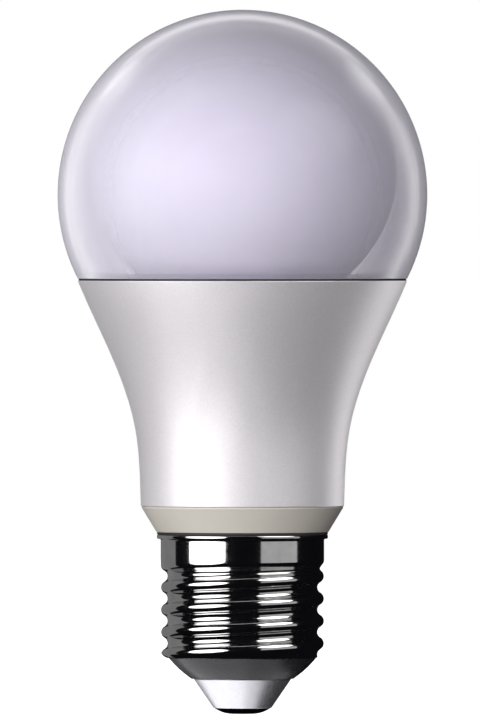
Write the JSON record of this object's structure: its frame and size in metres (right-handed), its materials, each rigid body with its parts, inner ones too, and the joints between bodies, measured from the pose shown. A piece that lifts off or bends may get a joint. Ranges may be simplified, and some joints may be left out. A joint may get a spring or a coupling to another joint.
{
  "type": "smart light bulb",
  "caption": "Lamp with a clear round globe over an opal inner dome, a flared housing and an Edison screw cap.",
  "frame": {"origin": "nose of the centre contact, on the lamp's axis", "axes": "+Z along the lamp's axis from the contact to the globe's crown; the driver board lies in the X-Z plane, its tall parts towards -Y"},
  "size_m": [0.06, 0.06, 0.1142],
  "materials": {
    "globe_clear": "clear polycarbonate with a faint lavender tint",
    "diffuser_opal": "opal diffuser, frosted",
    "housing_pearl": "satin pearl silver",
    "seal_rubber": "dark silicone",
    "collar_beige": "moulded warm grey, semi-matt",
    "shell_nickel": "bright nickel plate, drawn and rolled",
    "insulator_black": "black moulded insulator, glossy",
    "contact_bright": "bright pressed metal",
    "nail_dark": "dark plated nail head",
    "sink_aluminium": "deep-drawn, satin",
    "pad_grey": "thermal pad, soft",
    "board_white": "white solder mask on an aluminium core",
    "board_green": "green solder mask with copper tracks",
    "led_white": "white moulded package",
    "phosphor": "yellow phosphor gel",
    "lens_clear": "clear lens",
    "screw_steel": "zinc plated",
    "plastic_black": "moulded, matt",
    "plastic_white": "moulded, semi-matt",
    "pin_gold": "gold flash",
    "tinned": "tinned wire",
    "copper_wire": "enamelled copper",
    "ferrite": "sintered ferrite",
    "tape_yellow": "polyester tape over copper",
    "can_sleeve": "shrink sleeve over an aluminium can",
    "ceramic_blue": "dipped ceramic disc",
    "box_red": "boxed film capacitor",
    "resistor_green": "cement coating with colour bands",
    "passive_tan": "ceramic chip with tinned ends",
    "shield_tin": "tinned steel can",
    "lead_red": "silicone insulation",
    "lead_white": "silicone insulation"
  },
  "bodies": {
    "root": {"outer_globe": "globe_clear", "globe_seal": "seal_rubber", "housing": "housing_pearl", "inner_diffuser": "diffuser_opal", "board_screws": "screw_steel", "heat_sink": "sink_aluminium", "thermal_pad": "pad_grey", "led_board": "board_white", "white_led_packages": "led_white", "white_led_phosphors": "phosphor", "colour_led_packages": "led_white", "colour_led_lenses": "lens_clear", "screw_shell": "shell_nickel", "cap_gasket": "seal_rubber", "cap_insulator": "insulator_black", "contact_cup": "contact_bright", "contact_nail": "nail_dark", "base_collar": "collar_beige", "driver_sleeve": "plastic_white", "driver_board": "board_green", "bulk_capacitor": "can_sleeve", "capacitor_legs": "tinned", "output_capacitor": "can_sleeve", "disc_capacitor": "ceramic_blue", "transformer_core": "ferrite", "transformer_bobbin": "plastic_black", "transformer_winding": "tape_yellow", "transformer_pins": "tinned", "choke_core": "ferrite", "choke_winding": "copper_wire", "fusible_resistor": "resistor_green", "resistor_leads": "tinned", "film_capacitor": "box_red", "bridge_rectifier": "plastic_black", "driver_chip": "plastic_black", "channel_chip": "plastic_black", "chip_passives": "passive_tan", "connector_pins": "pin_gold", "pin_strip": "plastic_black", "led_connector": "plastic_white", "radio_board": "board_green", "radio_strip": "plastic_black", "radio_pins": "pin_gold", "radio_shield": "shield_tin", "radio_chip": "plastic_black", "radio_antenna": "pin_gold", "live_lead": "lead_red", "neutral_lead": "lead_white"}
  },
  "joints": []
}
